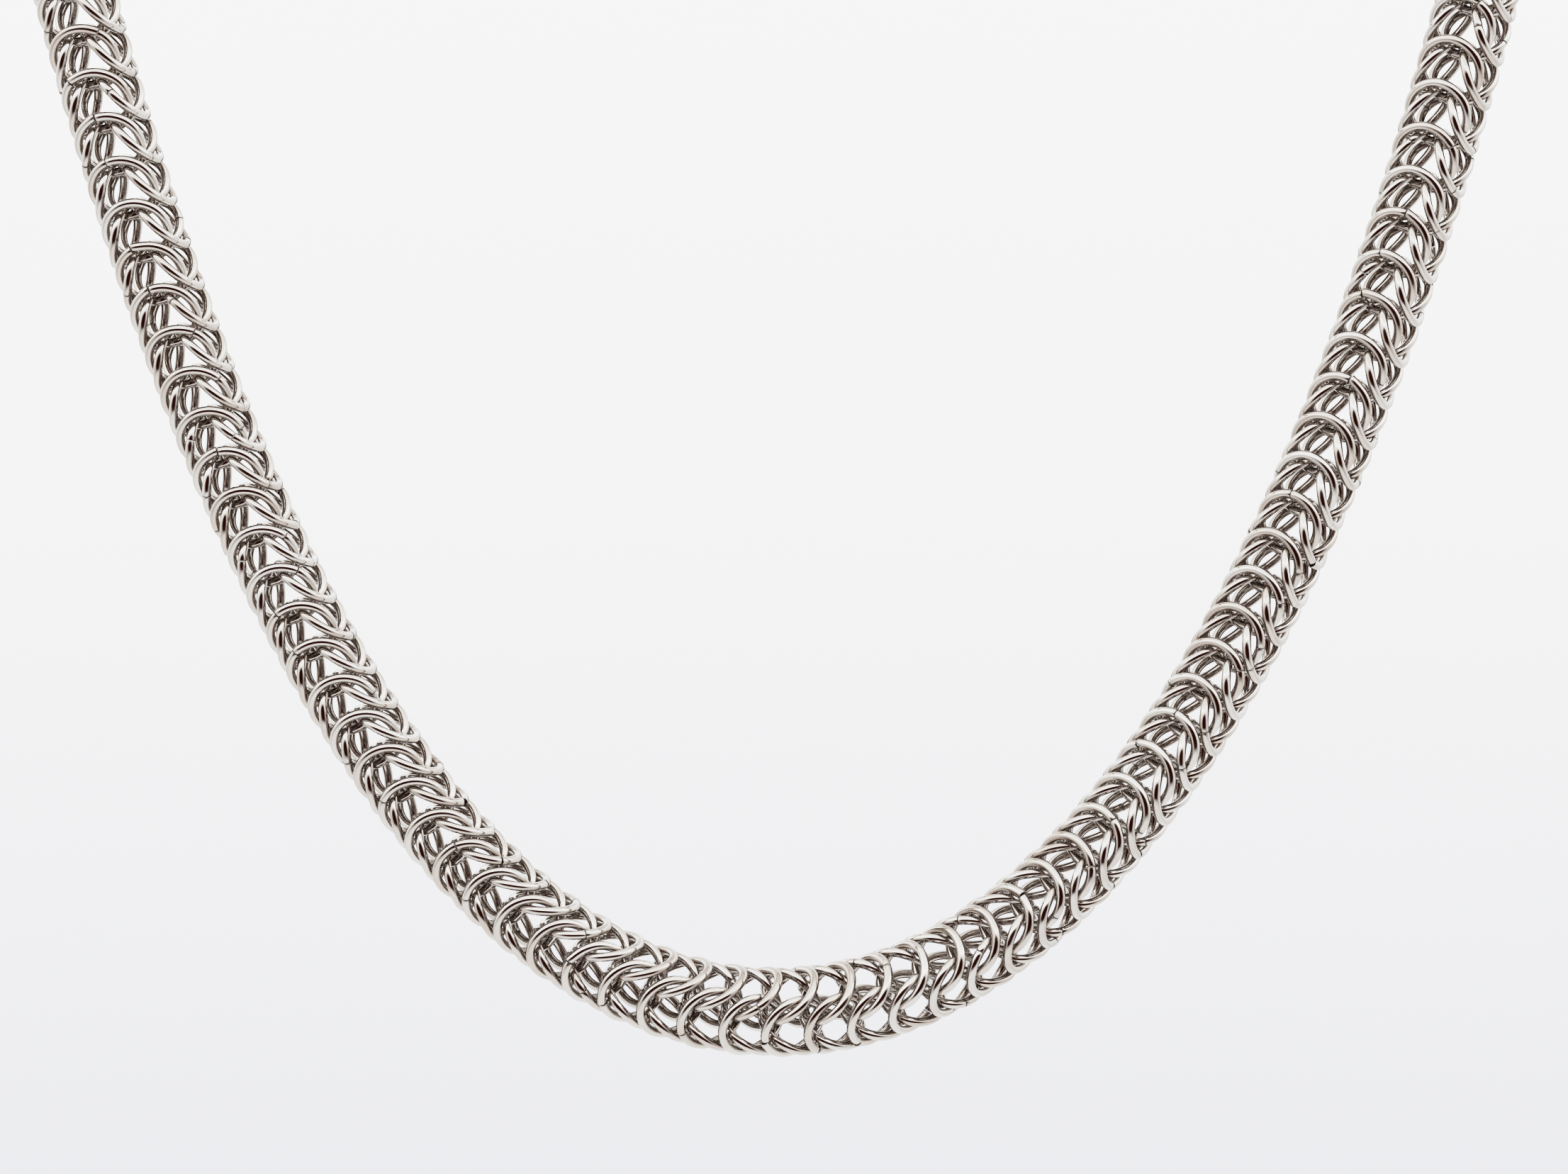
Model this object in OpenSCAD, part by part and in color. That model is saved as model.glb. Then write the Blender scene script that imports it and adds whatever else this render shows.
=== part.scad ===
// A box-weave chain necklace: four round cut rings to a set, each ring through four of its neighbours.
// It hangs as worn, with the open neck in its middle. Front is -Y, up is +Z, and the origin is
// the inner face of the clasp, where the necklace sits on the nape.

/* [Rings] */
// Diameter of the round steel wire
wire_d = 0.81; // [0.76:0.01:0.83]
// Inside diameter of a ring
ring_id = 4.76; // [4.74:0.01:4.78]
// Width of the saw cut between a ring's two ends
cut_w = 0.05; // [0.02:0.01:0.1]
// How unevenly the rings lie, from not at all to as far as their play lets them
play = 1; // [0:0.1:1]

/* [Weave] */
// From one set of rings to the next, at the lowest point
pitch_slack = 3.54; // [3.53:0.01:3.56]
// From one set of rings to the next, where the chain is pulled straight
pitch_taut = 4; // [3.97:0.01:4.02]
// Number of sets, from the lowest point, over which the slack is taken up
slack_sets = 28; // [26:1:30]
// Sets of four rings on each side of the middle set
side_sets = 65; // [65:1:65]
// How far the middle set lies past the lowest point
phase = 1.2; // [0:0.1:1.7]
// Turn of the weave about the run of the chain, left of the middle
turn_left = -15; // [-20:1:-10]
// Turn of the weave about the run of the chain, right of the middle
turn_right = -64; // [-65:1:-55]

/* [Drape] */
// Scale of the hanging curve in front
drape = 31.77; // [31.6:0.01:31.9]
// Depth of the front curve against that of a free hanging one
depth = 1.097; // [1.09:0.001:1.1]
// How far behind the front the clasp lies
neck_depth = 78; // [77.8:0.1:78.2]
// How far above the lowest point the clasp lies
neck_rise = 132; // [131.8:0.1:132.2]

/* [Clasp] */
// Diameter of the barrel
barrel_d = 4.2; // [3.6:0.1:5]
// Length of the barrel
barrel_len = 10; // [9.6:0.1:10.4]
// Wire diameter of the two eyes
eye_wire = 1; // [0.9:0.05:1.1]

/* [Hidden] */
steel = "#c9c7c2";
$fn = 48;

// Ring: radius to the middle of the wire, and the angle its saw cut takes up
ring_r = (ring_id + wire_d) / 2;
cut_angle = cut_w / ring_r * 180 / PI;
// Play of a ring: lean and turn in degrees, and along the run
lean_play = 0.4 * play;
turn_play = 0.8 * play;
run_play = 0.02 * play;
// Which of the possible scatters is used
seed = 16;

// Weave where the chain is taut and where it lies slack: reach of the wire from the chain's middle,
// lean of a ring, and what a bend of the run adds to its lean and to its offset
reach = [3.13, 3.33];
lean = [28.9, 31.4];
lean_by_bend = [88, 165];
offset_by_bend = [2.8, 6];
// Half the length of the slack stretch, and how far the second pair of a set lies along the run
slack_len = 31;
pair_step = 0.14;
// Where and over what length the weave turns from the left to the right value
turn_at = 3;
turn_len = 17;

// Route: end of the front curve in units of its scale, pull of the two ends of the hidden curve,
// half of the straight stretch at the clasp, and steps in each curve
front_end = 1.96;
rise_pull = 50;
nape_pull = 60;
nape_flat = 12;
steps = 120;
// Length over which the bend of the run is taken
bend_len = 3;

// Sets to a node: in the middle one, on each side, and in the others
middle_sets = 4;
node_sets = 10;

// Clasp: middle radius of an eye, and from the middle of the last set to the middle of the eye
eye_r = 1.6;
eye_reach = 2.83;
// Bevel at the barrel's two ends
barrel_edge = 0.6;

function cosh(x) = (exp(x) + exp(-x)) / 2;
function sinh(x) = (exp(x) - exp(-x)) / 2;
function tanh(x) = sinh(x) / cosh(x);
function unit(v) = v / norm(v);
// The part of v that lies across the direction t
function across(v, t) = unit(v - t * (t * v));
function flip(v) = [-v.x, v.y, v.z];
// A repeatable scatter between -1 and 1 for ring i
function scatter(i, k) =
    let (v = sin((i * 12.9898 + (k + seed) * 78.233) * 180 / PI) * 43758.5453)
    2 * (v - floor(v)) - 1;

// The right half of the route, from the lowest point of the front to the nape
function front_point(u) = [drape * u, 0, depth * drape * (cosh(u) - 1)];
rise_start = front_point(front_end);
rise_pole = rise_start + rise_pull * unit([1, 0, depth * sinh(front_end)]);
nape = [0, neck_depth, neck_rise];
nape_start = nape + [nape_flat, 0, 0];
nape_pole = nape_start + [nape_pull, 0, 0];
function hidden_point(t) =
    pow(1 - t, 3) * rise_start + 3 * pow(1 - t, 2) * t * rise_pole
    + 3 * (1 - t) * t * t * nape_pole + pow(t, 3) * nape_start;
half_route = concat(
    [for (i = [0 : steps]) front_point(front_end * i / steps)],
    [for (i = [1 : steps]) hidden_point(i / steps)],
    [nape]
);
last_point = len(half_route) - 1;
// Length of the run up to each point
run = [
    for (i = 0, s = 0; i <= last_point; i = i + 1,
         s = s + (i <= last_point ? norm(half_route[i] - half_route[i - 1]) : 0)) s
];
headings = [
    for (i = [0 : last_point])
        let (
            before = i == 0 ? flip(half_route[1]) : half_route[i - 1],
            after = i == last_point ? flip(half_route[i - 1]) : half_route[i + 1]
        )
        unit(after - before)
];
// The side that faces the inside of the curve, carried along the run without a twist
inner_sides = [
    for (i = 0, v = [0, 0, 1]; i <= last_point; i = i + 1,
         v = i <= last_point ? across(v, headings[i]) : v) v
];
function columns(values) =
    [for (c = [0 : 2]) [for (i = [0 : last_point]) [run[i], values[i][c]]]];
place_columns = columns(half_route);
heading_columns = columns(headings);
inner_columns = columns(inner_sides);
function sample(cols, s) = [for (c = [0 : 2]) lookup(abs(s), cols[c])];

// The whole route: s runs from the lowest point, to the right where it is above zero
shift = [phase, barrel_d / 2 - neck_depth, -neck_rise];
function place(s) =
    let (v = sample(place_columns, s))
    shift + (s < 0 ? flip(v) : v);
function heading(s) =
    let (v = unit(sample(heading_columns, s)))
    s < 0 ? -flip(v) : v;
function inner(s) =
    let (v = sample(inner_columns, s))
    across(s < 0 ? flip(v) : v, heading(s));
function bend(s) = (heading(s + bend_len) - heading(s - bend_len)) / (2 * bend_len);
// The direction out of the chain at the angle az, and the one along the ring's own width
function outward(s, az) = cos(az) * cross(heading(s), inner(s)) + sin(az) * inner(s);
function sideways(s, az) = cos(az) * inner(s) - sin(az) * cross(heading(s), inner(s));

// Where set n lies along the run
slack_rate = (pitch_taut - pitch_slack) / (3 * slack_sets * slack_sets);
function reach_of_sets(m) =
    m <= slack_sets
        ? pitch_slack * m + slack_rate * pow(m, 3)
        : reach_of_sets(slack_sets) + pitch_taut * (m - slack_sets);
function set_at(n) = phase + sign(n) * reach_of_sets(abs(n));
function turn_of(s) =
    (turn_left + turn_right) / 2 + (turn_right - turn_left) / 2 * tanh((s - turn_at) / turn_len);
// A value of the weave between its taut and its slack one
function weave(pair, w) = pair[0] + (pair[1] - pair[0]) * w;

// Pair 0 of a set opens forward along the run and pair 1 backward, a quarter turn apart
function ring_number(n, pair, k) = 4 * (n + side_sets) + 2 * pair + k;
function ring_pose(n, pair, k) =
    let (
        i = ring_number(n, pair, k),
        w = exp(-pow(set_at(n) / slack_len, 2)),
        s = set_at(n) + pair * pair_step + run_play * scatter(i, 1),
        az = turn_of(s) + turn_play * scatter(i, 3) + 90 * (1 - pair) + 180 * k,
        out = outward(s, az),
        wide = sideways(s, az),
        curve = out * bend(s),
        tilt = weave(lean, w) + lean_play * scatter(i, 2) + weave(lean_by_bend, w) * curve,
        off = weave(reach, w) - ring_r * sin(weave(lean, w)) + weave(offset_by_bend, w) * curve,
        along = cos(tilt) * heading(s) + (1 - 2 * pair) * sin(tilt) * out,
        up = cross(wide, along),
        c = place(s) + off * out
    )
    [
        [wide.x, along.x, up.x, c.x],
        [wide.y, along.y, up.y, c.y],
        [wide.z, along.z, up.z, c.z],
        [0, 0, 0, 1]
    ];
// The cut lies mostly near the ring's outer end, seldom at its far side
function cut_turn(n, pair, k) =
    let (h = scatter(ring_number(n, pair, k), 4))
    90 - 180 * pair + 180 * sign(h) * pow(abs(h), 1.6);

// A cut ring about Z, its cut centred on the angle turn
module ring(turn) {
    rotate([0, 0, turn + cut_angle / 2])
        rotate_extrude(angle = 360 - cut_angle)
            translate([ring_r, 0])
                circle(d = wire_d);
}

module ring_sets(first, last) {
    color(steel)
        for (n = [first : last], pair = [0, 1], k = [0, 1])
            multmatrix(ring_pose(n, pair, k))
                ring(cut_turn(n, pair, k));
}

// The stretch number j from the middle outward, on the right or the left
module stretch(j, right) {
    first = middle_sets + 1 + j * node_sets;
    last = first + 2 * node_sets > side_sets + 1 ? side_sets : first + node_sets - 1;
    if (right)
        ring_sets(first, last);
    else
        ring_sets(-last, -first);
}

module front_middle() {
    ring_sets(-middle_sets, middle_sets);
}

module front_low_left() {
    stretch(0, false);
}

module front_mid_left() {
    stretch(1, false);
}

module front_high_left() {
    stretch(2, false);
}

module shoulder_left() {
    stretch(3, false);
}

module neck_left() {
    stretch(4, false);
}

module nape_left() {
    stretch(5, false);
}

module front_low_right() {
    stretch(0, true);
}

module front_mid_right() {
    stretch(1, true);
}

module front_high_right() {
    stretch(2, true);
}

module shoulder_right() {
    stretch(3, true);
}

module neck_right() {
    stretch(4, true);
}

module nape_right() {
    stretch(5, true);
}

// An eye in the plane of the run and the last pair's two inner ends, which it holds
module eye(s, az) {
    t = heading(s);
    out = outward(s, az);
    up = cross(t, out);
    c = place(s);
    multmatrix([
        [t.x, out.x, up.x, c.x],
        [t.y, out.y, up.y, c.y],
        [t.z, out.z, up.z, c.z],
        [0, 0, 0, 1]
    ])
        rotate_extrude()
            translate([eye_r, 0])
                circle(d = eye_wire);
}

module barrel() {
    translate([0, barrel_d / 2, 0])
        rotate([0, 90, 0])
            union() {
                cylinder(h = barrel_len - 2 * barrel_edge, d = barrel_d, center = true);
                for (a = [0, 180])
                    rotate([a, 0, 0])
                        translate([0, 0, barrel_len / 2 - barrel_edge])
                            cylinder(h = barrel_edge, d1 = barrel_d, d2 = barrel_d - 2 * barrel_edge);
            }
}

module clasp() {
    right_eye = set_at(side_sets) + eye_reach;
    left_eye = set_at(-side_sets) - eye_reach;
    color(steel)
        union() {
            barrel();
            eye(right_eye, turn_of(right_eye));
            eye(left_eye, turn_of(left_eye) + 90);
        }
}

front_middle();
front_low_left();
front_mid_left();
front_high_left();
shoulder_left();
neck_left();
nape_left();
front_low_right();
front_mid_right();
front_high_right();
shoulder_right();
neck_right();
nape_right();
clasp();
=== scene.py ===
"""Dresses a box-weave chain necklace, which hangs as it is worn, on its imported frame.

The rings follow the same drape and weave as the solids they stand for. Lengths are given in
millimetres, as a maker would, and are turned into metres where a mesh is made.
"""
import logging
import math
from dataclasses import dataclass, field
from enum import Enum
from typing import Optional

import bpy
import numpy as np
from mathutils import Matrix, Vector


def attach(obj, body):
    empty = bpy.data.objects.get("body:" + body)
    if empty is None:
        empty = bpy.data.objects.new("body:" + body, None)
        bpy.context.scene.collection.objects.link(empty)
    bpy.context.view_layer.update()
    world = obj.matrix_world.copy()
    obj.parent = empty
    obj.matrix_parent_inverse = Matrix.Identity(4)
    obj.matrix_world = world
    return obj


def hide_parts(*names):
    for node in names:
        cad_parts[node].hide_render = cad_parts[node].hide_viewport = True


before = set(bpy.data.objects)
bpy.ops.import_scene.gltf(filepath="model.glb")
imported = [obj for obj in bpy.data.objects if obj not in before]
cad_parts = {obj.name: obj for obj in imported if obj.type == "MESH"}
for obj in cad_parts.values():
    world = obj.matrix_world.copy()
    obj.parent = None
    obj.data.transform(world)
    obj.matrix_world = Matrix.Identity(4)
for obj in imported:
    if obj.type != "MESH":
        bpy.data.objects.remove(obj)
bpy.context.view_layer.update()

log = logging.getLogger("necklace")
MM = 0.001
ROOT = "root"
SCATTER_STEPS = (12.9898, 78.233, 43758.5453)
FULL_TURN = 2 * math.pi
ALL_COLOURS_CURVE = 3


class Opening(Enum):
    """Which way along the run the outer ends of a pair of rings point."""

    FORWARD = 0
    BACKWARD = 1


class Side(Enum):
    """The side of the lowest point that a stretch of chain lies on."""

    LEFT = "left"
    RIGHT = "right"


class Chance(Enum):
    """What differs by chance from one ring to the next."""

    RUN = 1
    LEAN = 2
    TURN = 3
    CUT = 4
    LIFT = 5
    SPRING = 6
    TONE = 7


def unit(v: np.ndarray) -> np.ndarray:
    """The vector at a length of one."""
    return v / np.linalg.norm(v)


def across(v: np.ndarray, t: np.ndarray) -> np.ndarray:
    """The direction of v once its share along t is taken out."""
    return unit(v - t * (t @ v))


def flip(v: np.ndarray) -> np.ndarray:
    """The vector mirrored from one side of the necklace to the other."""
    return v * np.array([-1.0, 1.0, 1.0])


def scatter(i: int, chance: Chance, seed: int = 16) -> float:
    """A repeatable scatter value for ring i.

    Args:
        i: The ring's number along the chain.
        chance: Which of the ring's values is asked for.
        seed: Which of the possible scatters is used.

    Returns:
        A value between -1 and 1.
    """
    by_ring, by_value, stretch = SCATTER_STEPS
    v = math.sin(i * by_ring + (chance.value + seed) * by_value) * stretch
    return 2 * (v - math.floor(v)) - 1


@dataclass
class Drape:
    """The line the chain hangs along: a hanging curve in front, then back over the shoulders."""

    scale: float = 31.77
    depth: float = 1.097
    neck_depth: float = 78.0
    neck_rise: float = 132.0
    front_end: float = 1.96
    rise_pull: float = 50.0
    nape_pull: float = 60.0
    nape_flat: float = 12.0
    steps: int = 120
    bend_len: float = 3.0
    phase: float = 1.2
    clasp_r: float = 2.1
    run: np.ndarray = field(init=False)
    points: np.ndarray = field(init=False)
    headings: np.ndarray = field(init=False)
    inners: np.ndarray = field(init=False)

    def __post_init__(self) -> None:
        """Works out the right half of the line, its headings and its inner side."""
        self.points = self._half_line()
        gaps = np.linalg.norm(np.diff(self.points, axis=0), axis=1)
        self.run = np.concatenate([[0.0], np.cumsum(gaps)])
        whole = np.vstack([flip(self.points[1]), self.points, flip(self.points[-2])])
        ahead = whole[2:] - whole[:-2]
        self.headings = ahead / np.linalg.norm(ahead, axis=1)[:, None]
        inners = [np.array([0.0, 0.0, 1.0])]
        for t in self.headings[1:]:
            inners.append(across(inners[-1], t))
        self.inners = np.array(inners)

    def _half_line(self) -> np.ndarray:
        """Works out the right half of the line.

        Returns:
            The points from the lowest one, up the right arm and round to the nape.
        """
        u = np.linspace(0, self.front_end, self.steps + 1)
        rise = self.depth * self.scale * (np.cosh(u) - 1)
        front = np.stack([self.scale * u, 0 * u, rise], axis=1)
        start = front[-1]
        slope = unit(np.array([1.0, 0.0, self.depth * math.sinh(self.front_end)]))
        nape = np.array([0.0, self.neck_depth, self.neck_rise])
        end = nape + np.array([self.nape_flat, 0.0, 0.0])
        pull = np.array([self.nape_pull, 0.0, 0.0])
        poles = (start, start + self.rise_pull * slope, end + pull, end)
        t = np.linspace(0, 1, self.steps + 1)[1:, None]
        back = sum(math.comb(3, i) * (1 - t) ** (3 - i) * t**i * p for i, p in enumerate(poles))
        return np.vstack([front, back, nape])

    def _at(self, table: np.ndarray, s: float) -> np.ndarray:
        """A row of a table, read at s on the right half."""
        return np.array([np.interp(abs(s), self.run, table[:, c]) for c in range(3)])

    def place(self, s: float) -> np.ndarray:
        """The point of the line at s.

        Args:
            s: How far along the run, from the lowest point, with the right arm above zero.

        Returns:
            The point, in millimetres.
        """
        v = self._at(self.points, s)
        shift = np.array([self.phase, self.clasp_r - self.neck_depth, -self.neck_rise])
        return shift + (flip(v) if s < 0 else v)

    def heading(self, s: float) -> np.ndarray:
        """The direction of the run at s."""
        v = unit(self._at(self.headings, s))
        return -flip(v) if s < 0 else v

    def inner(self, s: float) -> np.ndarray:
        """The side that faces the inside of the curve at s."""
        v = self._at(self.inners, s)
        return across(flip(v) if s < 0 else v, self.heading(s))

    def bend(self, s: float) -> np.ndarray:
        """How the run turns at s, for each millimetre."""
        change = self.heading(s + self.bend_len) - self.heading(s - self.bend_len)
        return change / (2 * self.bend_len)

    def outward(self, s: float, az: float) -> np.ndarray:
        """The direction out of the chain at the angle az, in radians."""
        inner = self.inner(s)
        return math.cos(az) * np.cross(self.heading(s), inner) + math.sin(az) * inner

    def sideways(self, s: float, az: float) -> np.ndarray:
        """The direction along the width of a ring whose outward angle is az, in radians."""
        inner = self.inner(s)
        return math.cos(az) * inner - math.sin(az) * np.cross(self.heading(s), inner)


@dataclass
class Pose:
    """Where a ring lies: its middle, its width, its length along the run, and its axis."""

    centre: np.ndarray
    wide: np.ndarray
    along: np.ndarray

    @property
    def axis(self) -> np.ndarray:
        """The ring's own axis."""
        return np.cross(self.wide, self.along)


@dataclass
class Weave:
    """The box weave: how the sets of four rings are spaced, leaned and turned along the run.

    Pairs of numbers are the value where the chain is taut and the value where it lies slack.
    """

    drape: Drape
    ring_r: float = 2.785
    side_sets: int = 65
    pitch: tuple[float, float] = (4.0, 3.54)
    slack_sets: int = 28
    turn_left: float = -15.0
    turn_right: float = -64.0
    turn_at: float = 3.0
    turn_len: float = 17.0
    reach: tuple[float, float] = (3.13, 3.33)
    lean: tuple[float, float] = (28.9, 31.4)
    lean_by_bend: tuple[float, float] = (88.0, 165.0)
    offset_by_bend: tuple[float, float] = (2.8, 6.0)
    slack_len: float = 31.0
    pair_step: float = 0.14
    lean_play: float = 0.4
    turn_play: float = 0.8
    run_play: float = 0.02
    cut_gather: float = 1.6

    def set_at(self, n: int) -> float:
        """Where a set lies along the run.

        Args:
            n: The set, counted from the middle one.

        Returns:
            How far along the run it is, in millimetres.
        """
        taut, slack = self.pitch
        m = min(abs(n), self.slack_sets)
        rate = (taut - slack) / (3 * self.slack_sets**2)
        reached = slack * m + rate * m**3 + taut * (abs(n) - m)
        return self.drape.phase + math.copysign(reached, n)

    def turn_of(self, s: float) -> float:
        """The turn of the weave about the run.

        Args:
            s: How far along the run.

        Returns:
            The turn there, in degrees.
        """
        middle = (self.turn_left + self.turn_right) / 2
        half = (self.turn_right - self.turn_left) / 2
        return middle + half * math.tanh((s - self.turn_at) / self.turn_len)

    def number(self, n: int, opening: Opening, k: int) -> int:
        """The number of ring k of a pair along the whole chain."""
        return 4 * (n + self.side_sets) + 2 * opening.value + k

    def pose(self, n: int, opening: Opening, k: int) -> Pose:
        """Works out where a ring lies.

        Args:
            n: The set, counted from the middle one.
            opening: Which pair of the set.
            k: Which ring of the pair, 0 or 1.

        Returns:
            The ring's pose, in millimetres.
        """
        i = self.number(n, opening, k)
        w = math.exp(-((self.set_at(n) / self.slack_len) ** 2))

        def mix(pair: tuple[float, float]) -> float:
            """The value between the taut and the slack one."""
            return pair[0] + (pair[1] - pair[0]) * w

        s = self.set_at(n) + opening.value * self.pair_step + self.run_play * scatter(i, Chance.RUN)
        turn = self.turn_of(s) + self.turn_play * scatter(i, Chance.TURN)
        turn += 90 * (1 - opening.value) + 180 * k
        out = self.drape.outward(s, math.radians(turn))
        curve = float(out @ self.drape.bend(s))
        lean = mix(self.lean) + self.lean_play * scatter(i, Chance.LEAN)
        tilt = math.radians(lean + mix(self.lean_by_bend) * curve)
        off = mix(self.reach) - self.ring_r * math.sin(math.radians(mix(self.lean)))
        off += mix(self.offset_by_bend) * curve
        sense = 1 if opening is Opening.FORWARD else -1
        along = math.cos(tilt) * self.drape.heading(s) + sense * math.sin(tilt) * out
        wide = self.drape.sideways(s, math.radians(turn))
        return Pose(self.drape.place(s) + off * out, wide, along)

    def outer_turn(self, opening: Opening) -> float:
        """The angle of a ring's outer end."""
        return 90 - 180 * opening.value

    def cut_turn(self, n: int, opening: Opening, k: int) -> float:
        """The angle of a ring's saw cut: mostly near its outer end, seldom at its far side."""
        h = scatter(self.number(n, opening, k), Chance.CUT)
        return self.outer_turn(opening) + math.copysign(180 * abs(h) ** self.cut_gather, h)


@dataclass
class Skin:
    """Vertices, faces and the values that the finish reads, gathered before a mesh is made."""

    verts: list[np.ndarray] = field(default_factory=list)
    faces: list[tuple[int, ...]] = field(default_factory=list)
    flat: list[int] = field(default_factory=list)
    wire: list[np.ndarray] = field(default_factory=list)
    tone: list[np.ndarray] = field(default_factory=list)
    worn: list[np.ndarray] = field(default_factory=list)
    charts: list[np.ndarray] = field(default_factory=list)
    count: int = 0

    def add_tube(self, rows: np.ndarray, wire: np.ndarray, tone: float, worn: np.ndarray,
                 closed: bool) -> None:
        """Adds a tube of rows of vertices.

        Args:
            rows: The vertices, as rows by vertices round by three.
            wire: For each vertex, how far along the wire it is, and its place across the wire.
            tone: The piece's own tone, 0 to 1.
            worn: For each row, how near it is to a cut or an end, 0 to 1, which sets the tool marks
                and the painted shade at a cut.
            closed: Whether the last row joins the first, rather than each end having a face.
        """
        n, m, _ = rows.shape
        base = self.count
        self.verts.append(rows.reshape(-1, 3))
        self.wire.append(wire.reshape(-1, 3))
        self.tone.append(np.full(n * m, tone))
        self.worn.append(np.repeat(worn, m))
        self.count += n * m
        self.charts.append(self._chart(n, m, closed))
        for i in range(n if closed else n - 1):
            a, b = base + i * m, base + (i + 1) % n * m
            for j in range(m):
                k = (j + 1) % m
                self.faces.append((a + j, b + j, b + k, a + k))
        if not closed:
            self.flat += [len(self.faces), len(self.faces) + 1]
            self.faces.append(tuple(base + j for j in range(m)))
            self.faces.append(tuple(base + (n - 1) * m + j for j in reversed(range(m))))

    @staticmethod
    def _chart(n: int, m: int, closed: bool, margin: float = 0.04, cap: float = 0.1,
               disc_r: float = 0.4) -> np.ndarray:
        """Lays a tube out flat in a cell one wide and one high, its end faces beside it.

        Args:
            n: The number of rows.
            m: The number of vertices round.
            closed: Whether the tube has no end faces.
            margin: The share of the cell left free along its edges.
            cap: The share of the cell's width kept for each end face.
            disc_r: An end face's radius, as a share of the room it has.

        Returns:
            The place of each corner of each face, in the order of the faces.
        """
        bands = n if closed else n - 1
        free = margin / 4 if closed else cap
        u = np.linspace(free, 1 - free, bands + 1)
        v = np.linspace(margin, 1 - margin, m + 1)
        i, j = np.meshgrid(np.arange(bands), np.arange(m), indexing="ij")
        steps = ((0, 0), (1, 0), (1, 1), (0, 1))
        quads = np.stack([np.stack([u[i + di], v[j + dj]], axis=-1) for di, dj in steps], axis=2)
        quads = quads.reshape(-1, 2)
        if closed:
            return quads
        a = np.linspace(0, FULL_TURN, m, endpoint=False)
        disc = np.stack([disc_r * cap * np.cos(a), disc_r * np.sin(a)], axis=-1)
        return np.vstack([quads, disc + (cap / 2, 0.5), disc[::-1] + (1 - cap / 2, 0.5)])

    def mesh(self, name: str) -> bpy.types.Object:
        """Makes the object.

        Args:
            name: The object's name.

        Returns:
            The object, linked into the scene, smooth but for its cut faces.
        """
        me = bpy.data.meshes.new(name)
        me.from_pydata((np.concatenate(self.verts) * MM).tolist(), [], self.faces)
        smooth = np.ones(len(self.faces), dtype=bool)
        smooth[self.flat] = False
        me.polygons.foreach_set("use_smooth", smooth)
        lines = math.ceil(len(self.charts) / 2)
        places = [(flat + (i % 2, i // 2)) / (2, lines) for i, flat in enumerate(self.charts)]
        chart = me.uv_layers.new(name="OFBake")
        chart.data.foreach_set("uv", np.concatenate(places).ravel().astype(np.float32))
        for key, kind, part, values in (
            ("wire_place", "FLOAT_VECTOR", "vector", self.wire),
            ("ring_tone", "FLOAT", "value", self.tone),
            ("cut_near", "FLOAT", "value", self.worn),
        ):
            attribute = me.attributes.new(key, kind, "POINT")
            attribute.data.foreach_set(part, np.concatenate(values).ravel().astype(np.float32))
        me.validate()
        me.update()
        piece = bpy.data.objects.new(name, me)
        bpy.context.scene.collection.objects.link(piece)
        return piece


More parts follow.
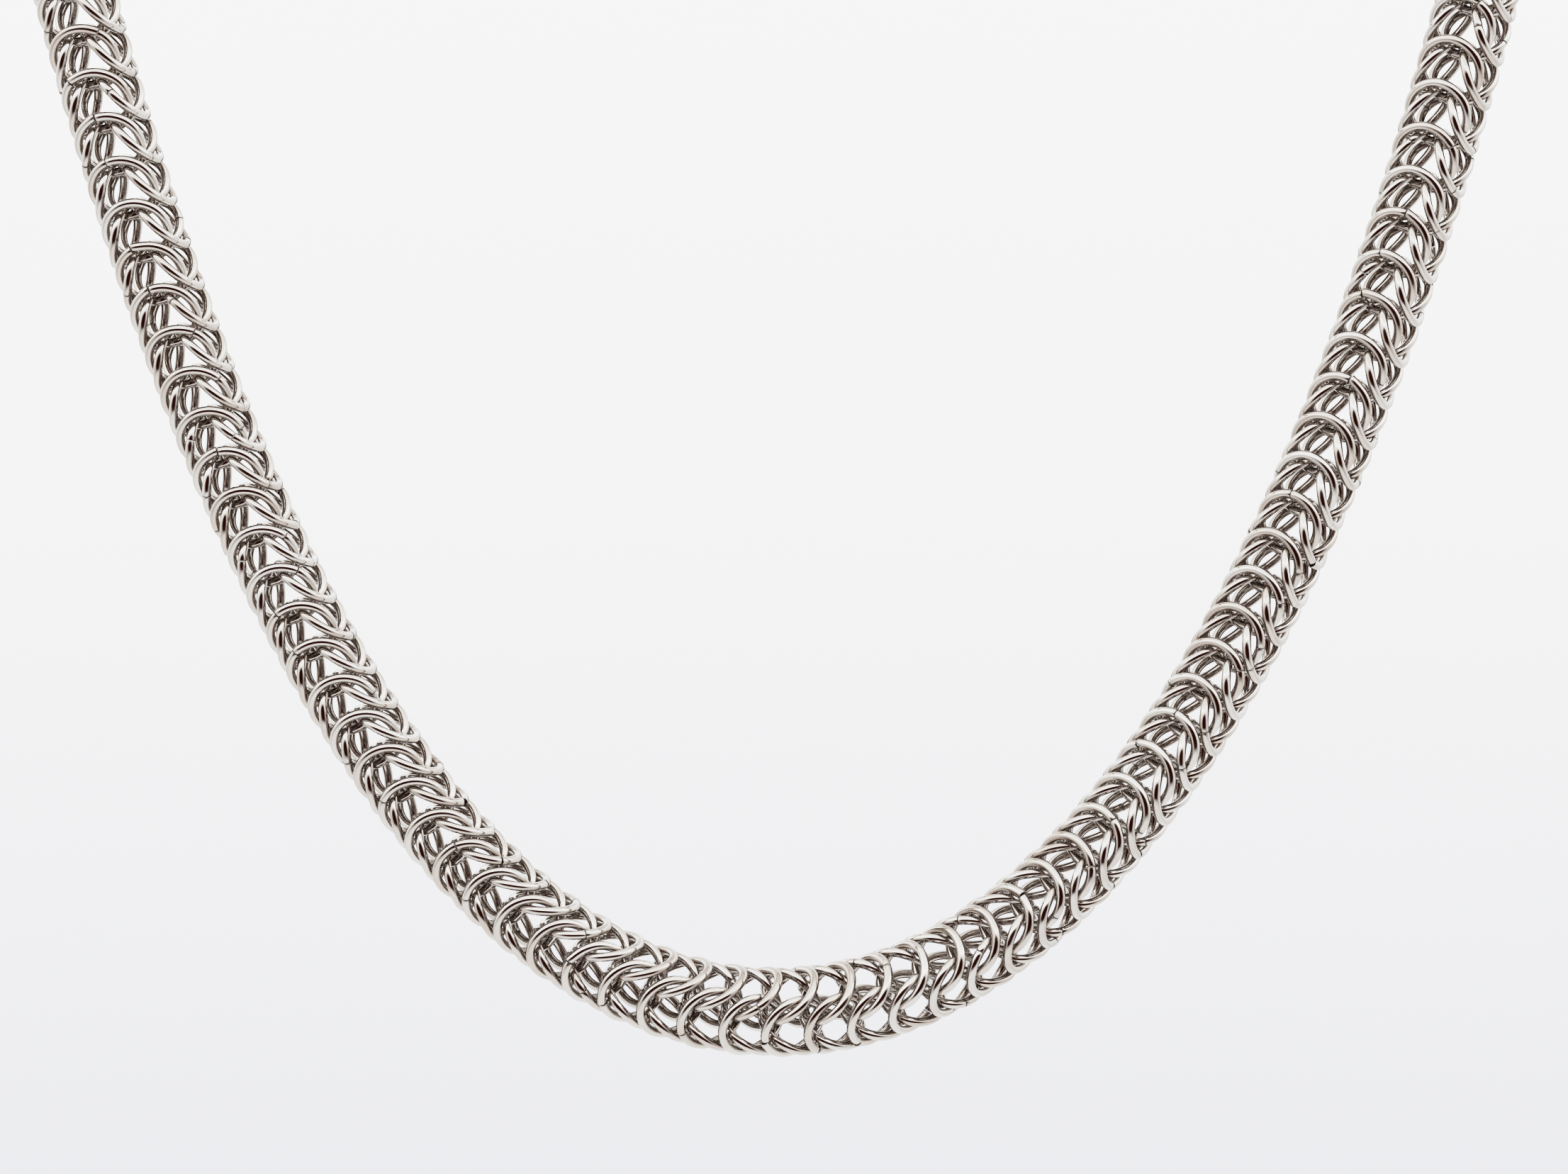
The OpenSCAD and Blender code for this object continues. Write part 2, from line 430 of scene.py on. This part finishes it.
@dataclass
class CutRing:
    """One ring of round wire, sawn through and closed, with its two ends not quite in line.

    The set back is how many degrees of the ring bend aside on each side of the cut. The slip and
    the spread are how far an end stands proud, and how far the cut gapes, where it has sprung
    fully, and the rarity is how seldom it has. The mid edge is how far across its rounded edge
    the cut has a row more.
    """

    pose: Pose
    cut: float
    number: int
    outer: float
    ring_r: float = 2.785
    wire_r: float = 0.405
    rows: int = 48
    sides: int = 18
    gap: float = 0.04
    edge: float = 0.035
    mid_edge: float = 0.3
    set_back: float = 26.0
    slip: float = 0.21
    spread: float = 0.1
    lift: float = 0.015
    rarity: float = 1.3
    marks_shift: float = 0.37

    @property
    def _sprung(self) -> float:
        """How far the cut has sprung, 0 to 1: only near the ring's outer end, where it is free."""
        free = max(0.0, math.cos(math.radians(self.cut - self.outer))) ** 2
        return free * abs(scatter(self.number, Chance.SPRING)) ** self.rarity

    def _row_angles(self) -> tuple[np.ndarray, np.ndarray]:
        """Spaces the rows of vertices along the wire, from one of its ends to the other.

        Returns:
            The angle of each row from the cut, and how far in it is rounded.
        """
        half = math.degrees((self.gap + self.spread * self._sprung) / 2 / self.ring_r)
        rounding = math.degrees(self.edge / self.ring_r)
        body = np.linspace(half + rounding, 360 - half - rounding, self.rows)
        near = half + self.mid_edge * rounding
        far = 360 - half - self.mid_edge * rounding
        angles = np.concatenate([[half, near], body, [far, 360 - half]])
        inset = np.zeros(len(angles))
        inset[[0, -1]] = self.edge
        inset[[1, -2]] = self.mid_edge * self.edge
        return angles, inset

    def _slips(self, angles: np.ndarray) -> tuple[np.ndarray, np.ndarray]:
        """How far the ends stand off the true circle.

        Args:
            angles: The angle of each row from the cut.

        Returns:
            For each row, how far it stands out of the ring's plane, and along its radius.
        """
        start = np.clip(1 - angles / self.set_back, 0, 1) ** 2
        end = np.clip(1 - (360 - angles) / self.set_back, 0, 1) ** 2
        proud = start if scatter(self.number, Chance.SPRING) > 0 else end
        lift = (start - end) * self.lift * scatter(self.number, Chance.LIFT)
        return lift, proud * self.slip * self._sprung

    def add_to(self, skin: Skin) -> None:
        """Adds the ring to a skin.

        Args:
            skin: The skin that the ring becomes part of.
        """
        angles, inset = self._row_angles()
        lift, out = self._slips(angles)
        u = np.radians(angles + self.cut)[:, None]
        v = np.linspace(0, FULL_TURN, self.sides, endpoint=False)[None, :]
        r = (self.wire_r - inset)[:, None]
        radial = (self.ring_r + out)[:, None] + r * np.cos(v)
        height = lift[:, None] + r * np.sin(v)
        x, y = radial * np.cos(u), radial * np.sin(u)
        rows = (self.pose.centre + x[..., None] * self.pose.wide + y[..., None] * self.pose.along
                + height[..., None] * self.pose.axis)
        length = (np.radians(angles) * self.ring_r + self.marks_shift * self.number)[:, None]
        wire = np.stack([length + 0 * v, np.cos(v) + 0 * u, np.sin(v) + 0 * u], axis=-1)
        ends = np.minimum(angles, 360 - angles)
        worn = np.clip(1 - ends / self.set_back, 0, 1)
        skin.add_tube(rows, wire, 0.5 + 0.5 * scatter(self.number, Chance.TONE), worn, closed=False)


class Nodes:
    """Adds shader nodes to a tree and joins them in few words."""

    def __init__(self, tree: bpy.types.NodeTree) -> None:
        """Takes the tree and clears it."""
        self.tree = tree
        tree.nodes.clear()

    def add(self, kind: str, inputs: Optional[dict] = None, **settings: object) -> bpy.types.Node:
        """Adds a node.

        Args:
            kind: The node's type, without its common beginning.
            inputs: A value or an output for each input, by name or number.
            **settings: Properties to set on the node.

        Returns:
            The node.
        """
        node = self.tree.nodes.new(kind if kind.startswith("NodeGroup") else "ShaderNode" + kind)
        for key, value in settings.items():
            setattr(node, key, value)
        for key, value in (inputs or {}).items():
            self.join(value, node.inputs[key])
        return node

    def join(self, value: object, socket: bpy.types.NodeSocket) -> None:
        """Links an output to a socket, or sets a plain value on it.

        Args:
            value: The output or the value.
            socket: The input socket.
        """
        if isinstance(value, bpy.types.NodeSocket):
            self.tree.links.new(value, socket)
        else:
            socket.default_value = value

    def math(self, operation: str, a: object, b: object = 0.0) -> bpy.types.NodeSocket:
        """What a sum, a product or the like makes of two values."""
        return self.add("Math", {0: a, 1: b}, operation=operation).outputs[0]

    def ranged(self, value: object, low: float, high: float, to_low: float = 0.0,
               to_high: float = 1.0) -> bpy.types.NodeSocket:
        """A value taken from one range to another, held at its ends."""
        return self.add("MapRange", {0: value, 1: low, 2: high, 3: to_low, 4: to_high}).outputs[0]

    def stretched(self, place: object, by: tuple[float, float, float]) -> bpy.types.NodeSocket:
        """A place with each of its parts multiplied."""
        return self.add("VectorMath", {0: place, 1: by}, operation="MULTIPLY").outputs[0]

    def noise(self, place: object, scale: object, **inputs: float) -> bpy.types.NodeSocket:
        """The value of a noise texture at a place."""
        named = {"Vector": place, "Scale": scale, **inputs}
        return self.add("TexNoise", named).outputs[0]

    def blend(self, share: object, a: object, b: object) -> bpy.types.NodeSocket:
        """A mixture of two colours, each an output or three plain numbers."""
        parts = [(*c, 1.0) if isinstance(c, tuple) else c for c in (a, b)]
        return self.add("MixRGB", {0: share, 1: parts[0], 2: parts[1]}).outputs[0]

    def attribute(self, name: str, output: str) -> bpy.types.NodeSocket:
        """One of the mesh's own values."""
        return self.add("Attribute", attribute_name=name).outputs[output]


def new_group(name: str, inputs: dict[str, float],
              outputs: tuple[str, ...]) -> tuple[bpy.types.NodeTree, Nodes]:
    """Makes an empty shader node group.

    Args:
        name: The group's name.
        inputs: Its number inputs, with their usual values.
        outputs: Its number outputs.

    Returns:
        The group and a builder for its nodes.
    """
    group = bpy.data.node_groups.new(name, "ShaderNodeTree")
    number = "NodeSocketFloat"
    for key, value in inputs.items():
        socket = group.interface.new_socket(key, in_out="INPUT", socket_type=number)
        socket.default_value = value
    for key in outputs:
        group.interface.new_socket(key, in_out="OUTPUT", socket_type=number)
    return group, Nodes(group)


@dataclass
class WireMarks:
    """What drawing, winding and sawing leave on wire: lines and grooves along it, tool marks.

    Pairs of numbers are the values of a noise at which a mark begins and is full.
    """

    name: str = "wire marks"
    line_stretch: tuple[float, float, float] = (0.06, 1.0, 1.0)
    mark_stretch: tuple[float, float, float] = (0.8, 1.3, 1.3)
    line_range: tuple[float, float] = (0.35, 0.65)
    mark_range: tuple[float, float] = (0.62, 0.74)
    more_near_cut: float = 0.16
    # How fast the painted shade at a cut fades along the wire, and how strong it is at most.
    painted_shade_fall: float = 16.0
    painted_shade_most: float = 0.7

    def build(self) -> bpy.types.NodeTree:
        """Makes the node group.

        Returns:
            A group that puts out the lines, the tool marks, a painted shade near a cut and a
            height.
        """
        inputs = {"Line Scale": 9.0, "Groove Scale": 2.6, "Mark Scale": 2.2,
                  "Line Depth": 0.5, "Groove Depth": 22.0, "Mark Depth": 1.0}
        group, n = new_group(self.name, inputs, ("Lines", "Marks", "Painted Cut Shade", "Height"))
        given = n.add("NodeGroupInput").outputs
        place = n.attribute("wire_place", "Vector")
        along = n.stretched(place, self.line_stretch)
        fine = n.noise(along, given["Line Scale"], Detail=5.0, Roughness=0.65)
        lines = n.ranged(fine, *self.line_range)
        grooves = n.noise(along, given["Groove Scale"], Detail=1.0, Roughness=0.4)
        short = n.stretched(place, self.mark_stretch)
        spots = n.noise(short, given["Mark Scale"], Detail=3.0, Roughness=0.6)
        near = n.attribute("cut_near", "Fac")
        likely = n.math("ADD", spots, n.math("MULTIPLY", near, self.more_near_cut))
        marks = n.ranged(likely, *self.mark_range)
        # Painted shade: a dark band at each cut, where the gap between the wire's ends lies in
        # shade.
        painted_cut_shade = n.math("MULTIPLY", n.math("POWER", near, self.painted_shade_fall), self.painted_shade_most)
        raised = n.math("ADD", n.math("MULTIPLY", lines, given["Line Depth"]),
                        n.math("MULTIPLY", grooves, given["Groove Depth"]))
        height = n.math("SUBTRACT", raised, n.math("MULTIPLY", marks, given["Mark Depth"]))
        n.add("NodeGroupOutput", {"Lines": lines, "Marks": marks, "Painted Cut Shade": painted_cut_shade, "Height": height})
        return group


@dataclass
class Handling:
    """The even, cloudy dulling that handling and wiping leave on polished metal."""

    name: str = "handling"
    film_range: tuple[float, float] = (0.38, 0.68)
    scratch_range: tuple[float, float] = (0.60, 0.72)
    scratch_slant: tuple[float, float, float] = (0.5, 0.3, 0.8)
    scratch_stretch: tuple[float, float, float] = (0.12, 1.0, 1.0)

    def build(self) -> bpy.types.NodeTree:
        """Makes the node group.

        Returns:
            A group that puts out a cloudy film and fine wiping scratches.
        """
        group, n = new_group(self.name, {"Cloud Scale": 260.0, "Scratch Scale": 900.0},
                             ("Film", "Scratches"))
        given = n.add("NodeGroupInput").outputs
        place = n.add("TexCoord").outputs["Object"]
        cloud = n.noise(place, given["Cloud Scale"], Detail=4.0, Roughness=0.55)
        film = n.ranged(cloud, *self.film_range)
        slant = n.add("Mapping", {"Vector": place, "Rotation": self.scratch_slant,
                                  "Scale": self.scratch_stretch}).outputs[0]
        fine = n.noise(slant, given["Scratch Scale"], Detail=2.0, Distortion=0.3)
        scratches = n.ranged(fine, *self.scratch_range)
        n.add("NodeGroupOutput", {"Film": film, "Scratches": scratches})
        return group


@dataclass(frozen=True)
class Steel:
    """Polished stainless steel, slightly warm.

    The shares say how much a ring's own tone, the film and the lines dull its colour, and the
    rough values how much the film, the lines and the marks add to its roughness.
    """

    name: str
    bright: tuple[float, float, float] = (0.499, 0.458, 0.431)
    dull: tuple[float, float, float] = (0.325, 0.260, 0.225)
    # The near-black colour of the painted shade at each cut.
    painted_cut_shade: tuple[float, float, float] = (0.10, 0.085, 0.07)
    polish: float = 0.06
    tone_share: float = 0.35
    film_share: float = 0.35
    line_share: float = 0.18
    film_rough: float = 0.04
    line_rough: float = 0.03
    mark_rough: float = 0.12
    relief: float = 0.6
    depth: float = 0.0000006

    def material(self, marks: bpy.types.NodeTree,
                 handling: bpy.types.NodeTree) -> bpy.types.Material:
        """Makes the material.

        Args:
            marks: The group of wire marks.
            handling: The group of handling.

        Returns:
            The material.
        """
        mat = bpy.data.materials.new(self.name)
        mat.use_nodes = True
        n = Nodes(mat.node_tree)
        wire = n.add("Group", node_tree=marks)
        hand = n.add("Group", node_tree=handling)
        tone = n.attribute("ring_tone", "Fac")
        lines, spots = wire.outputs["Lines"], wire.outputs["Marks"]
        film, scratches = hand.outputs["Film"], hand.outputs["Scratches"]
        dulled = n.math("ADD", n.math("MULTIPLY", tone, self.tone_share),
                        n.math("MULTIPLY", film, self.film_share))
        dulled = n.math("ADD", dulled, n.math("MULTIPLY", lines, self.line_share))
        colour = n.blend(dulled, self.bright, self.dull)
        # Painted shade: the colour darkens towards near black at each cut, standing in for the
        # shaded gap.
        colour = n.blend(wire.outputs["Painted Cut Shade"], colour, self.painted_cut_shade)
        rough = n.math("ADD", n.math("MULTIPLY", film, self.film_rough), self.polish)
        rough = n.math("ADD", rough, n.math("MULTIPLY", lines, self.line_rough))
        worn = n.math("MAXIMUM", spots, scratches)
        rough = n.math("ADD", rough, n.math("MULTIPLY", worn, self.mark_rough))
        bump = n.add("Bump", {"Strength": self.relief, "Distance": self.depth,
                              "Height": wire.outputs["Height"]})
        shader = n.add("BsdfPrincipled", {"Base Color": colour, "Metallic": 1.0, "Roughness": rough,
                                          "Normal": bump.outputs[0]})
        n.add("OutputMaterial", {"Surface": shader.outputs[0]})
        return mat


@dataclass
class RingStretch:
    """One stretch of the chain, which shows every ring of its sets."""

    node: str
    first: int
    last: int
    weave: Weave
    piece: Optional[bpy.types.Object] = None

    def build(self) -> None:
        """Builds the rings of the stretch as one mesh."""
        skin = Skin()
        weave = self.weave
        for n in range(self.first, self.last + 1):
            for opening in Opening:
                for k in (0, 1):
                    ring = CutRing(weave.pose(n, opening, k), weave.cut_turn(n, opening, k),
                                   weave.number(n, opening, k), weave.outer_turn(opening))
                    ring.add_to(skin)
        self.piece = skin.mesh(self.node + "_rings")

    def dress(self, steel: bpy.types.Material) -> None:
        """Gives the rings their steel and puts them in their node's place.

        Args:
            steel: The rings' material.
        """
        self.piece.data.materials.append(steel)
        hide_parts(self.node)
        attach(self.piece, ROOT)


@dataclass
class BarrelClasp:
    """The plain barrel that closes the necklace, with an eye at each end for the last rings.

    The corners are points along the barrel and out from its axis, in shares of the soft radius.
    The seam is the hairline at the middle: how far from the middle, and how deep.
    """

    weave: Weave
    radius: float = 2.1
    length: float = 10.0
    bevel: float = 0.6
    eye_r: float = 1.6
    eye_wire_r: float = 0.5
    eye_reach: float = 2.83
    sides: int = 64
    eye_rows: int = 48
    eye_sides: int = 20
    soft: float = 0.09
    face_corner: tuple[tuple[float, float], ...] = ((0.0, -1.0), (-0.25, -0.25), (-1.0, 0.75))
    side_corner: tuple[tuple[float, float], ...] = ((1.0, -1.0), (0.25, -0.2), (-1.0, 0.0))
    flat_at: tuple[float, ...] = (2.5, 0.4)
    seam: tuple[tuple[float, float], ...] = ((0.10, 0.0), (0.05, 0.02), (0.02, 0.09))
    least_r: float = 0.02
    barrel_tone: float = 0.3
    eye_tone: float = 0.6
    brush_len: float = 3.0
    piece: Optional[bpy.types.Object] = None

    def _profile(self) -> np.ndarray:
        """Draws the barrel's outline, with its soft bevels and the hairline at the middle.

        Returns:
            For each point from one end to the other, its place along the barrel and its radius.
        """
        half, soft = self.length / 2, self.soft
        face_r, edge = self.radius - self.bevel, half - self.bevel
        right = [(half, 0.0)]
        right += [(half + x * soft, face_r + r * soft) for x, r in self.face_corner]
        right += [(edge + x * soft, self.radius + r * soft) for x, r in self.side_corner]
        right += [(x, self.radius) for x in self.flat_at]
        right += [(x, self.radius - deep) for x, deep in self.seam]
        return np.array(right + [(-x, r) for x, r in reversed(right)])

    def _add_barrel(self, skin: Skin) -> None:
        """Adds the turned body.

        Args:
            skin: The skin that the barrel becomes part of.
        """
        profile = self._profile()
        a = np.linspace(0, FULL_TURN, self.sides, endpoint=False)
        x, r = profile[:, :1], np.maximum(profile[:, 1:], self.least_r)
        middle = np.array([0.0, self.radius, 0.0])
        rows = middle + np.stack([x + 0 * a, r * np.cos(a), r * np.sin(a)], axis=-1)
        wire = np.stack([self.brush_len * a + 0 * x, x + 0 * a, r + 0 * a], axis=-1)
        skin.add_tube(rows, wire, self.barrel_tone, np.zeros(len(x)), closed=False)

    def _add_eye(self, skin: Skin, s: float, turn: float) -> None:
        """Adds an eye.

        Args:
            skin: The skin that the eye becomes part of.
            s: Where the eye's middle lies along the run.
            turn: The angle of the direction that, with the run, spans the eye's plane.
        """
        drape = self.weave.drape
        along, out = drape.heading(s), drape.outward(s, math.radians(turn))
        up = np.cross(along, out)
        u = np.linspace(0, FULL_TURN, self.eye_rows, endpoint=False)[:, None]
        v = np.linspace(0, FULL_TURN, self.eye_sides, endpoint=False)[None, :]
        radial = self.eye_r + self.eye_wire_r * np.cos(v)
        height = self.eye_wire_r * np.sin(v) + 0 * u
        x, y = radial * np.cos(u), radial * np.sin(u)
        points = (drape.place(s) + x[..., None] * along + y[..., None] * out
                  + height[..., None] * up)
        wire = np.stack([self.eye_r * u + 0 * v, np.cos(v) + 0 * u, np.sin(v) + 0 * u], axis=-1)
        skin.add_tube(points, wire, self.eye_tone, np.zeros(self.eye_rows), closed=True)

    def build(self) -> None:
        """Builds the barrel and its two eyes as one mesh."""
        skin = Skin()
        self._add_barrel(skin)
        right = self.weave.set_at(self.weave.side_sets) + self.eye_reach
        left = self.weave.set_at(-self.weave.side_sets) - self.eye_reach
        self._add_eye(skin, right, self.weave.turn_of(right))
        self._add_eye(skin, left, self.weave.turn_of(left) + 90)
        self.piece = skin.mesh("clasp_barrel")

    def dress(self, steel: bpy.types.Material) -> None:
        """Gives the clasp its steel and puts it in its node's place.

        Args:
            steel: The clasp's material.
        """
        self.piece.data.materials.append(steel)
        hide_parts("clasp")
        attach(self.piece, ROOT)


@dataclass(frozen=True)
class DarkZone:
    """A dark part of the tent in front of the necklace, or behind it.

    The side is -1 in front and 1 behind. The half width, the half height and the height of the
    middle are in degrees, the softness is a share of the zone's size, and the depth is how much
    of the tent's light it takes.
    """

    side: float
    wide: float
    high: float
    at: float
    soft: float
    depth: float


@dataclass(frozen=True)
class Lamp:
    """A square soft lamp: its name, its place and side in metres, and how bright its face is."""

    name: str
    place: tuple[float, float, float]
    size: float
    glow: float


@dataclass
class Studio:
    """A pale floor well below the necklace, a white tent with dark zones, and soft lamps.

    The tent, the view and the tones are given from the lowest stop to the highest. Each tone is
    a brightness and what it shows as.
    """

    floor_place: tuple[float, float, float] = (0, -0.035, -0.6)
    floor_r: float = 0.95
    floor_sides: int = 96
    floor_rim: tuple[float, float] = (0.55, 0.98)
    floor_grain: float = 40.0
    floor_pale: tuple[tuple[float, float, float], ...] = ((0.80, 0.80, 0.81), (0.83, 0.83, 0.84))
    eye: tuple[float, float, float] = (0.00183, -0.5959, -0.0944)
    lens: float = 135.4
    sensor: float = 36.0
    nearest: float = 0.01
    tent: tuple[tuple[float, tuple[float, float, float]], ...] = (
        (0.0, (1.20, 1.27, 1.28)),
        (0.30, (1.71, 1.82, 1.84)),
        (0.5, (2.24, 2.39, 2.41)),
        (0.68, (2.73, 2.91, 2.94)),
        (0.74, (4.10, 4.37, 4.42)),
        (0.80, (2.68, 2.86, 2.88)),
        (1.0, (2.24, 2.39, 2.41)),
    )
    view: tuple[tuple[float, float, float], ...] = ((1.16, 1.18, 1.32), (2.0, 2.0, 2.0))
    view_rise: float = 0.10
    brightest: float = 2.5
    tones: tuple[tuple[float, float], ...] = (
        (0.05, 0.027), (0.12, 0.082), (0.25, 0.211), (0.5, 0.475), (0.8, 0.71),
        (1.14, 0.83), (1.5, 0.885), (1.9, 0.915), (2.5, 0.93),
    )
    dark: tuple[float, float, float] = (0.085, 0.014, 0.007)
    side_fade: float = 0.1
    dark_zones: tuple[DarkZone, ...] = (
        DarkZone(-1, 47, 27, -8, 0.15, 1.0),
        DarkZone(-1, 80, 27, -8, 0.45, 0.5),
        DarkZone(-1, 42, 36, -40, 0.5, 0.5),
        DarkZone(1, 80, 60, 25, 0.6, 0.4),
        DarkZone(1, 26, 13, -3, 0.3, 0.8),
    )
    lit_middle: tuple[float, float, float] = (0, -0.035, -0.07)
    lamps: tuple[Lamp, ...] = (
        Lamp("lamp above", (0.0, -0.2, 1.5), 0.9, 0.25),
        Lamp("lamp left", (-1.4, -0.3, 0.45), 1.1, 0.25),
        Lamp("lamp right", (1.4, -0.3, 0.45), 1.1, 0.25),
    )

    def _zone(self, n: Nodes, way: bpy.types.NodeSocket, zone: DarkZone) -> bpy.types.NodeSocket:
        """A mask of one dark zone of the tent.

        Args:
            n: The builder for the tree's nodes.
            way: The direction that is looked at.
            zone: The zone.

        Returns:
            One inside the zone, falling to nothing round its edge.
        """
        wide, high, at = (math.sin(math.radians(v)) for v in (zone.wide, zone.high, zone.at))
        placed = n.add("VectorMath", {0: way, 1: (0.0, 0.0, at)}, operation="SUBTRACT").outputs[0]
        scaled = n.stretched(placed, (1 / wide, 0.0, 1 / high))
        size = n.add("VectorMath", {0: scaled}, operation="LENGTH").outputs["Value"]
        front = (0.0, zone.side, 0.0)
        ahead = n.add("VectorMath", {0: way, 1: front}, operation="DOT_PRODUCT").outputs["Value"]
        inside = n.ranged(size, 1 - zone.soft, 1 + zone.soft, zone.depth, 0.0)
        return n.math("MULTIPLY", inside, n.ranged(ahead, 0.0, self.side_fade))

    def _surround(self) -> None:
        """A white tent that lights the metal, with its dark zones, and the pale view behind."""
        world = bpy.data.worlds.new("surround")
        bpy.context.scene.world = world
        world.use_nodes = True
        n = Nodes(world.node_tree)
        way = n.add("TexCoord").outputs["Generated"]
        z = n.add("SeparateXYZ", {0: way}).outputs[2]
        sky = n.add("ValToRGB", {0: n.ranged(z, -1, 1)})
        ramp = sky.color_ramp.elements
        ramp[0].position, ramp[0].color = 0.0, (*self.tent[0][1], 1)
        ramp[1].position, ramp[1].color = 1.0, (*self.tent[-1][1], 1)
        for position, colour in self.tent[1:-1]:
            ramp.new(position).color = (*colour, 1)
        lit = sky.outputs[0]
        for zone in self.dark_zones:
            lit = n.blend(self._zone(n, way, zone), lit, self.dark)
        tent = n.add("Background", {"Color": lit, "Strength": 1.0})
        pale = n.add("ValToRGB", {0: n.ranged(z, -self.view_rise, self.view_rise)})
        for stop, colour in zip(pale.color_ramp.elements, self.view):
            stop.color = (*colour, 1)
        seen = n.add("Background", {"Color": pale.outputs[0], "Strength": 1.0})
        camera = n.add("LightPath").outputs["Is Camera Ray"]
        both = n.add("MixShader", {0: camera, 1: tent.outputs[0], 2: seen.outputs[0]})
        n.add("OutputWorld", {"Surface": both.outputs[0]})

    def _floor(self) -> None:
        """A pale round floor whose rim melts into the surround."""
        bpy.ops.mesh.primitive_circle_add(vertices=self.floor_sides, radius=self.floor_r,
                                          fill_type="NGON", location=self.floor_place)
        floor = bpy.context.object
        floor.name = "floor"
        mat = bpy.data.materials.new("pale floor")
        mat.use_nodes = True
        n = Nodes(mat.node_tree)
        place = n.add("TexCoord").outputs["Object"]
        rim = n.add("VectorMath", {0: place}, operation="LENGTH").outputs["Value"]
        solid_to, gone_at = (self.floor_r * share for share in self.floor_rim)
        solid = n.ranged(rim, solid_to, gone_at, 1.0, 0.0)
        shade = n.blend(n.noise(place, self.floor_grain, Detail=3.0), *self.floor_pale)
        shader = n.add("BsdfPrincipled", {"Base Color": shade, "Roughness": 0.9, "Alpha": solid})
        n.add("OutputMaterial", {"Surface": shader.outputs[0]})
        floor.data.materials.append(mat)

    def _lamp(self, lamp: Lamp) -> None:
        """Hangs a lamp that faces the middle of the necklace.

        Args:
            lamp: The lamp.
        """
        light = bpy.data.lights.new(lamp.name, "AREA")
        light.shape, light.size = "SQUARE", lamp.size
        light.energy = lamp.glow * math.pi * lamp.size**2
        hung = bpy.data.objects.new(lamp.name, light)
        hung.location = lamp.place
        aim = Vector(self.lit_middle) - hung.location
        hung.rotation_euler = aim.to_track_quat("-Z", "Y").to_euler()
        hung.visible_camera = False
        bpy.context.scene.collection.objects.link(hung)

    def _camera(self) -> None:
        """The camera, level and square to the front, at the photograph's distance."""
        data = bpy.data.cameras.new("camera")
        data.lens, data.sensor_width, data.clip_start = self.lens, self.sensor, self.nearest
        camera = bpy.data.objects.new("camera", data)
        camera.location = self.eye
        camera.rotation_euler = (math.pi / 2, 0, 0)
        bpy.context.scene.collection.objects.link(camera)
        bpy.context.scene.camera = camera

    def _exposure(self) -> None:
        """Lets the brightest tones roll off towards white, as a bright studio picture does."""
        view = bpy.context.scene.view_settings
        view.view_transform = "Standard"
        view.use_curve_mapping = True
        mapping = view.curve_mapping
        mapping.white_level = (self.brightest,) * 3
        tones = mapping.curves[ALL_COLOURS_CURVE].points
        tones[-1].location = (1.0, self.tones[-1][1])
        for light, tone in self.tones[:-1]:
            tones.new(light / self.brightest, tone)
        mapping.update()

    def build(self) -> None:
        """Sets up the surround, the floor, the lamps and the camera."""
        self._surround()
        self._floor()
        for lamp in self.lamps:
            self._lamp(lamp)
        self._camera()
        self._exposure()
        log.info("studio ready")


@dataclass
class Necklace:
    """The whole necklace: thirteen stretches of the chain and its clasp."""

    weave: Weave
    middle_sets: int = 4
    node_sets: int = 10
    names: tuple[str, ...] = ("front_low", "front_mid", "front_high", "shoulder", "neck", "nape")

    def stretches(self) -> list[RingStretch]:
        """Divides the chain into its stretches.

        Returns:
            The stretches in order, from the middle outward on each side.
        """
        made = [RingStretch("front_middle", -self.middle_sets, self.middle_sets, self.weave)]
        for side in Side:
            for j, name in enumerate(self.names):
                first = self.middle_sets + 1 + j * self.node_sets
                last = first + self.node_sets - 1
                if name == self.names[-1]:
                    last = self.weave.side_sets
                ends = (first, last) if side is Side.RIGHT else (-last, -first)
                made.append(RingStretch(f"{name}_{side.value}", *ends, self.weave))
        return made

    def build(self) -> None:
        """Builds and dresses every piece."""
        marks, handling = WireMarks().build(), Handling().build()
        ring_steel = Steel("ring steel").material(marks, handling)
        clasp_steel = Steel("clasp steel", polish=0.12).material(marks, handling)
        for stretch in self.stretches():
            stretch.build()
            stretch.dress(ring_steel)
            log.info("%s: %d faces", stretch.piece.name, len(stretch.piece.data.polygons))
        clasp = BarrelClasp(self.weave)
        clasp.build()
        clasp.dress(clasp_steel)
        log.info("%s: %d faces", clasp.piece.name, len(clasp.piece.data.polygons))


def main() -> None:
    """Builds the necklace and its studio."""
    logging.basicConfig(level=logging.INFO, format="%(name)s: %(message)s")
    Necklace(Weave(Drape())).build()
    Studio().build()


if __name__ == "__main__":
    main()
